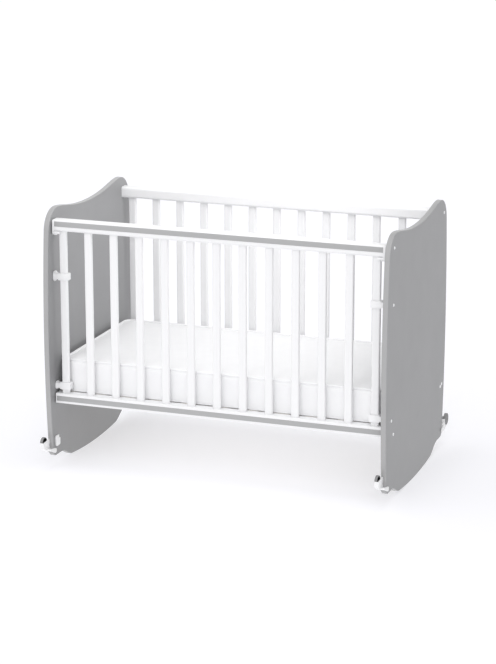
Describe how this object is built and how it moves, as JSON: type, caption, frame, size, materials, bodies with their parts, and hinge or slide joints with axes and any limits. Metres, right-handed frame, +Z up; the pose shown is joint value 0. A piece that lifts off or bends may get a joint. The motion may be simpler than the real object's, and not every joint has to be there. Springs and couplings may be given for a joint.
{
  "type": "rocking crib",
  "caption": "Rocking crib: grey board ends on rockers, white barred sides, a sliding front side with grey strips, slatted base, mattress and fold-down casters",
  "frame": {"origin": "on the floor, under the middle of the crib", "axes": "+X along the crib to its right end, -Y the front with the sliding side, +Z up"},
  "size_m": [1.2542, 0.8461, 0.9325],
  "materials": {
    "board_grey": "satin grey laminate on board",
    "wood_white": "satin white paint",
    "strip_grey": "satin light grey",
    "plastic_white": "satin white plastic",
    "wheel_grey": "matte grey tread",
    "wood_bare": "bare planed wood",
    "mattress_cloth": "plain white cover"
  },
  "bodies": {
    "base": {"left_end_board": "board_grey", "right_end_board": "board_grey", "rear_top_rail": "wood_white", "rear_bottom_rail": "wood_white", "rear_bar_01": "wood_white", "rear_bar_02": "wood_white", "rear_bar_03": "wood_white", "rear_bar_04": "wood_white", "rear_bar_05": "wood_white", "rear_bar_06": "wood_white", "rear_bar_07": "wood_white", "rear_bar_08": "wood_white", "rear_bar_09": "wood_white", "rear_bar_10": "wood_white", "rear_bar_11": "wood_white", "rear_bar_12": "wood_white", "rear_bar_13": "wood_white", "upper_guide_left": "plastic_white", "lower_guide_left": "plastic_white", "upper_guide_right": "plastic_white", "lower_guide_right": "plastic_white", "latch_keeper_left": "plastic_white", "latch_keeper_right": "plastic_white", "base_front_rail": "wood_white", "base_rear_rail": "wood_white", "slatted_base": "wood_bare", "mattress": "mattress_cloth"},
    "front_side": {"front_top_rail": "wood_white", "front_bottom_rail": "wood_white", "top_rail_strip": "strip_grey", "bottom_rail_strip": "strip_grey", "front_bar_01": "wood_white", "front_bar_02": "wood_white", "front_bar_03": "wood_white", "front_bar_04": "wood_white", "front_bar_05": "wood_white", "front_bar_06": "wood_white", "front_bar_07": "wood_white", "front_bar_08": "wood_white", "front_bar_09": "wood_white", "front_bar_10": "wood_white", "front_bar_11": "wood_white", "front_bar_12": "wood_white", "front_bar_13": "wood_white", "release_housing_left": "plastic_white", "release_housing_right": "plastic_white"},
    "release_left": {"release_button_left": "plastic_white"},
    "release_right": {"release_button_right": "plastic_white"},
    "arm_front_left": {"caster_arm_front_left": "plastic_white"},
    "arm_front_right": {"caster_arm_front_right": "plastic_white"},
    "arm_rear_left": {"caster_arm_rear_left": "plastic_white"},
    "arm_rear_right": {"caster_arm_rear_right": "plastic_white"},
    "wheel_front_left": {"caster_wheel_front_left": "wheel_grey"},
    "wheel_front_right": {"caster_wheel_front_right": "wheel_grey"},
    "wheel_rear_left": {"caster_wheel_rear_left": "wheel_grey"},
    "wheel_rear_right": {"caster_wheel_rear_right": "wheel_grey"},
    "catch_front_left": {"caster_catch_front_left": "plastic_white"},
    "catch_front_right": {"caster_catch_front_right": "plastic_white"},
    "catch_rear_left": {"caster_catch_rear_left": "plastic_white"},
    "catch_rear_right": {"caster_catch_rear_right": "plastic_white"}
  },
  "joints": [
    {"name": "front_side_slide", "type": "slide", "parent": "base", "child": "front_side", "axis": [0, 0, -1], "range_m": [0, 0.105]},
    {"name": "release_left_press", "type": "slide", "parent": "front_side", "child": "release_left", "axis": [0, 0, 1], "range_m": [0, 0.003], "stiffness_N_per_m": 300, "springref_m": -0.003},
    {"name": "release_right_press", "type": "slide", "parent": "front_side", "child": "release_right", "axis": [0, 0, 1], "range_m": [0, 0.003], "stiffness_N_per_m": 300, "springref_m": -0.003},
    {"name": "arm_front_left_fold", "type": "hinge", "parent": "base", "child": "arm_front_left", "pos_m": [-0.6115, -0.347, 0.066], "axis": [1, 0, 0], "range_deg": [0, 127]},
    {"name": "arm_front_right_fold", "type": "hinge", "parent": "base", "child": "arm_front_right", "pos_m": [0.6115, -0.347, 0.066], "axis": [1, 0, 0], "range_deg": [0, 127]},
    {"name": "arm_rear_left_fold", "type": "hinge", "parent": "base", "child": "arm_rear_left", "pos_m": [-0.6115, 0.347, 0.066], "axis": [-1, 0, 0], "range_deg": [0, 114]},
    {"name": "arm_rear_right_fold", "type": "hinge", "parent": "base", "child": "arm_rear_right", "pos_m": [0.6115, 0.347, 0.066], "axis": [-1, 0, 0], "range_deg": [0, 114]},
    {"name": "wheel_front_left_roll", "type": "hinge", "parent": "arm_front_left", "child": "wheel_front_left", "pos_m": [-0.6221, -0.39484, 0.10544], "axis": [1, 0, 0], "continuous": true},
    {"name": "wheel_front_right_roll", "type": "hinge", "parent": "arm_front_right", "child": "wheel_front_right", "pos_m": [0.6009, -0.39484, 0.10544], "axis": [1, 0, 0], "continuous": true},
    {"name": "wheel_rear_left_roll", "type": "hinge", "parent": "arm_rear_left", "child": "wheel_rear_left", "pos_m": [-0.6009, 0.40249, 0.09366], "axis": [1, 0, 0], "continuous": true},
    {"name": "wheel_rear_right_roll", "type": "hinge", "parent": "arm_rear_right", "child": "wheel_rear_right", "pos_m": [0.6221, 0.40249, 0.09366], "axis": [1, 0, 0], "continuous": true},
    {"name": "catch_front_left_lift", "type": "slide", "parent": "base", "child": "catch_front_left", "axis": [0, 0, 1], "range_m": [0, 0.008], "stiffness_N_per_m": 200, "springref_m": -0.003},
    {"name": "catch_front_right_lift", "type": "slide", "parent": "base", "child": "catch_front_right", "axis": [0, 0, 1], "range_m": [0, 0.008], "stiffness_N_per_m": 200, "springref_m": -0.003},
    {"name": "catch_rear_left_lift", "type": "slide", "parent": "base", "child": "catch_rear_left", "axis": [0, 0, 1], "range_m": [0, 0.008], "stiffness_N_per_m": 200, "springref_m": -0.003},
    {"name": "catch_rear_right_lift", "type": "slide", "parent": "base", "child": "catch_rear_right", "axis": [0, 0, 1], "range_m": [0, 0.008], "stiffness_N_per_m": 200, "springref_m": -0.003}
  ]
}
